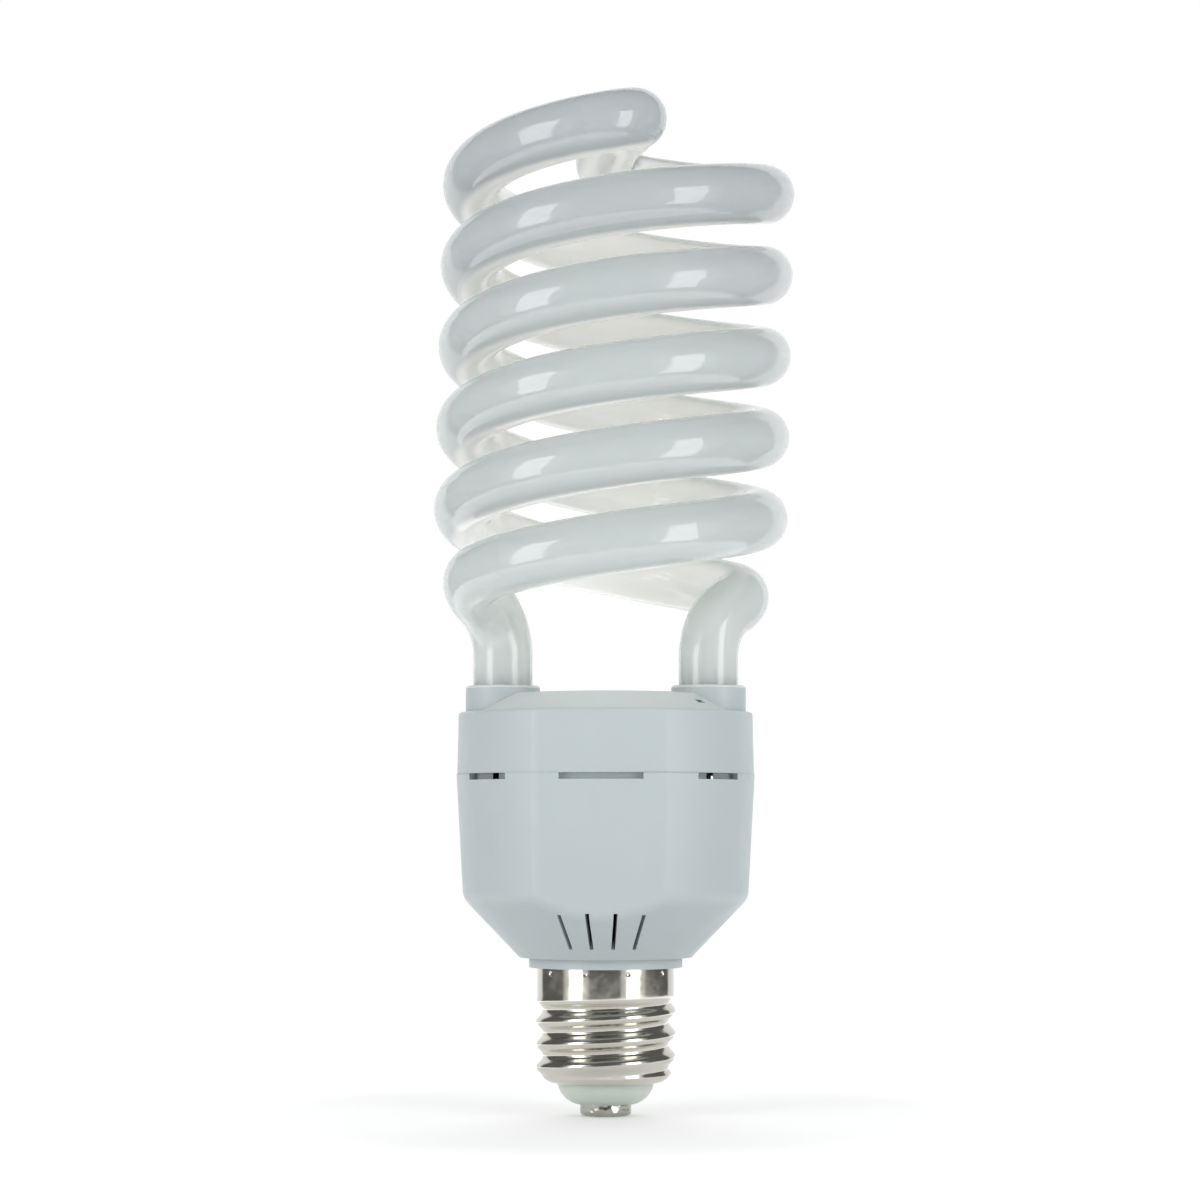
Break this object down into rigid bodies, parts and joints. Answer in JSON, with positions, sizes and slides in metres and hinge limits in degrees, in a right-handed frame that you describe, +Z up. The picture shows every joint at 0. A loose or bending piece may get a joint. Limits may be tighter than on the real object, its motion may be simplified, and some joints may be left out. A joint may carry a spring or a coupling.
{
  "type": "spiral energy saving bulb",
  "caption": "Compact fluorescent lamp with a white double-helix tube on a flatted, vented ballast housing and a large screw cap.",
  "frame": {"origin": "centre of the centre contact's lower face, on the screw cap's axis", "axes": "+Z up the lamp from the cap to the tube's crossing, -Y the front flat of the housing, +X to the right when facing that flat"},
  "size_m": [0.1035, 0.1012, 0.289],
  "materials": {
    "coated_glass": "gloss over a white phosphor coat",
    "housing_plastic": "fine satin moulding",
    "nickel_plate": "bright nickel plate",
    "insulator": "pale green-grey gloss",
    "contact_metal": "bright nickel plate",
    "cement": "matte",
    "board_laminate": "laminate",
    "capacitor_sleeve": "shrink sleeve",
    "ferrite": "matte",
    "bobbin_plastic": "moulded",
    "copper_wire": "lacquered copper",
    "moulding_compound": "moulded",
    "film_case": "dipped",
    "fuse_coat": "painted",
    "tinned_wire": "tinned",
    "live_sleeve": "extruded",
    "neutral_sleeve": "extruded"
  },
  "bodies": {
    "root": {"glass_tube": "coated_glass", "top_cover": "housing_plastic", "lower_housing": "housing_plastic", "screw_shell": "nickel_plate", "base_insulator": "insulator", "centre_contact": "contact_metal", "leg_cement_1": "cement", "leg_cement_2": "cement", "circuit_board": "board_laminate", "bus_capacitor": "capacitor_sleeve", "choke_core": "ferrite", "drive_toroid": "ferrite", "filter_choke": "ferrite", "choke_bobbin": "bobbin_plastic", "choke_winding": "copper_wire", "drive_winding": "copper_wire", "transistor_1": "moulding_compound", "transistor_2": "moulding_compound", "diode_1": "moulding_compound", "diode_2": "moulding_compound", "diode_3": "moulding_compound", "diode_4": "moulding_compound", "mains_capacitor": "film_case", "resonant_capacitor": "film_case", "coupling_capacitor": "film_case", "fuse_link": "fuse_coat", "lead_pin_1": "tinned_wire", "lead_pin_2": "tinned_wire", "lead_pin_3": "tinned_wire", "lead_pin_4": "tinned_wire", "tube_lead_1": "tinned_wire", "tube_lead_2": "tinned_wire", "tube_lead_3": "tinned_wire", "tube_lead_4": "tinned_wire", "live_wire": "live_sleeve", "neutral_wire": "neutral_sleeve"}
  },
  "joints": []
}
